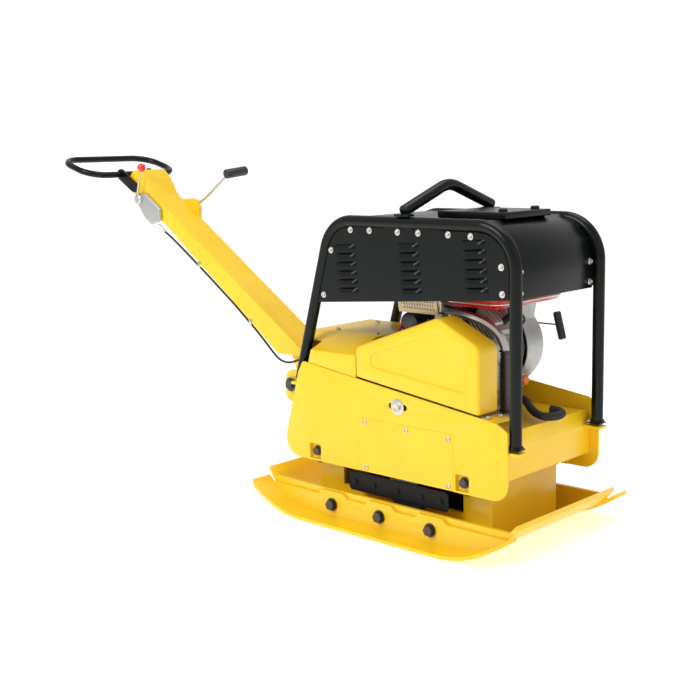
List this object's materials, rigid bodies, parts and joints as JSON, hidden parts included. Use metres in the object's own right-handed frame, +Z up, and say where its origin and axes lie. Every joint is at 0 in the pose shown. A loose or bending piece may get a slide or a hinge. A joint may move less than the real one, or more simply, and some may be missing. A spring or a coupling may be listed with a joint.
{
  "type": "plate compactor",
  "caption": "Reversible vibrating plate: a turned-up base plate with geared exciter, a sprung engine frame in a roll cage with hood, and a folding pole with a loop handle",
  "frame": {"origin": "on the ground, at the middle of the base plate's flat sole", "axes": "+X forward, away from the pole; +Y to the recoil-starter side; +Z up"},
  "size_m": [1.9635, 0.6, 1.0177],
  "materials": {
    "yellow_paint": "semi-gloss yellow paint on steel sheet",
    "black_paint": "gloss black paint",
    "black_iron": "black painted cast iron",
    "dark_steel": "blackened steel",
    "bright_steel": "bare and zinc-plated steel",
    "cast_aluminium": "as-cast aluminium",
    "rubber": "matt black rubber",
    "black_plastic": "matt black moulding",
    "red_tank": "gloss red",
    "red_plastic": "gloss red",
    "orange_plastic": "orange moulding"
  },
  "bodies": {
    "base": {"base_plate": "yellow_paint", "extension_near": "yellow_paint", "extension_far": "yellow_paint", "extension_bolt_near_1": "dark_steel", "extension_bolt_near_2": "dark_steel", "extension_bolt_near_3": "dark_steel", "extension_bolt_far_1": "dark_steel", "extension_bolt_far_2": "dark_steel", "extension_bolt_far_3": "dark_steel", "isolator_front_near": "rubber", "isolator_front_far": "rubber", "isolator_rear_near": "rubber", "isolator_rear_far": "rubber", "exciter_housing": "black_iron", "exciter_cover": "cast_aluminium"},
    "exciter_drive": {"exciter_drive_shaft": "bright_steel", "exciter_pulley": "dark_steel"},
    "exciter_driven": {"exciter_driven_shaft": "bright_steel"},
    "frame": {"side_plate_near": "yellow_paint", "side_plate_far": "yellow_paint", "lower_belt_guard": "yellow_paint", "front_panel": "yellow_paint", "rear_panel": "yellow_paint", "pole_bracket": "yellow_paint", "pivot_pin": "dark_steel", "engine_deck": "yellow_paint", "v_belt": "rubber", "belt_cover": "yellow_paint", "rear_cover": "yellow_paint", "battery": "black_plastic", "hoop_near": "black_paint", "hoop_far": "black_paint", "hood_side_near": "black_paint", "hood_side_far": "black_paint", "hood_roof": "black_paint", "lifting_bar": "black_paint", "crankcase": "cast_aluminium", "cylinder": "cast_aluminium", "fan_cover": "cast_aluminium", "recoil_cover": "cast_aluminium", "fuel_tank": "red_tank", "air_cleaner": "black_plastic", "muffler": "bright_steel", "electric_starter": "dark_steel", "drain_hose": "rubber", "throttle_cable_loop": "rubber"},
    "crank": {"crankshaft": "bright_steel", "clutch_drum": "bright_steel"},
    "recoil": {"recoil_grip": "black_plastic"},
    "hatch": {"roof_hatch": "black_paint"},
    "filler": {"fuel_cap": "black_plastic"},
    "oil_filler": {"oil_cap": "orange_plastic"},
    "pole": {"pole_beam": "yellow_paint", "throttle_box": "cast_aluminium", "throttle_cable": "rubber"},
    "control": {"control_handle": "black_paint"},
    "throttle": {"throttle_lever": "bright_steel", "throttle_knob": "red_plastic"},
    "lock": {"lock_lever": "black_plastic"}
  },
  "joints": [
    {"name": "suspension", "type": "slide", "parent": "base", "child": "frame", "axis": [0, 0, 1], "range_m": [-0.006, 0.006], "stiffness_N_per_m": 500000, "springref_m": 0.00358, "deforming": ["isolator_front_near", "isolator_front_far", "isolator_rear_near", "isolator_rear_far", "v_belt"]},
    {"name": "pole_tilt", "type": "hinge", "parent": "frame", "child": "pole", "pos_m": [-0.472, 0, 0.331], "axis": [0, 1, 0], "range_deg": [0, 52], "deforming": ["throttle_cable_loop"]},
    {"name": "control_swing", "type": "hinge", "parent": "pole", "child": "control", "pos_m": [-1.262, 0, 0.912], "axis": [0, 1, 0], "range_deg": [-15, 15]},
    {"name": "throttle_turn", "type": "hinge", "parent": "pole", "child": "throttle", "pos_m": [-1.228, -0.071, 0.872], "axis": [0, 1, 0], "range_deg": [0, 60]},
    {"name": "lock_turn", "type": "hinge", "parent": "pole", "child": "lock", "pos_m": [-1.085, 0.0635, 0.85], "axis": [0, 1, 0], "range_deg": [-35, 0]},
    {"name": "exciter_drive_spin", "type": "hinge", "parent": "base", "child": "exciter_drive", "pos_m": [0.058, 0, 0.105], "axis": [0, 1, 0], "continuous": true},
    {"name": "exciter_driven_spin", "type": "hinge", "parent": "base", "child": "exciter_driven", "pos_m": [-0.058, 0, 0.105], "axis": [0, 1, 0], "continuous": true},
    {"name": "crank_spin", "type": "hinge", "parent": "frame", "child": "crank", "pos_m": [0.115, 0, 0.48], "axis": [0, 1, 0], "continuous": true},
    {"name": "recoil_pull", "type": "slide", "parent": "frame", "child": "recoil", "axis": [1, 0, 0], "range_m": [0, 0.14], "stiffness_N_per_m": 60},
    {"name": "hatch_swing", "type": "hinge", "parent": "frame", "child": "hatch", "pos_m": [0.1, 0, 0.8463], "axis": [0, -1, 0], "range_deg": [0, 80]},
    {"name": "fuel_cap_turn", "type": "hinge", "parent": "frame", "child": "filler", "pos_m": [0.21, 0, 0.7513], "axis": [0, 0, 1], "range_deg": [0, 90]},
    {"name": "oil_cap_turn", "type": "hinge", "parent": "frame", "child": "oil_filler", "pos_m": [0.241, 0.103, 0.396], "axis": [1, 0, 0], "range_deg": [0, 180]}
  ],
  "couplings": [
    {"joint": "exciter_driven_spin", "follows": "exciter_drive_spin", "ratio": -1},
    {"joint": "crank_spin", "follows": "exciter_drive_spin", "ratio": 0.81818}
  ]
}
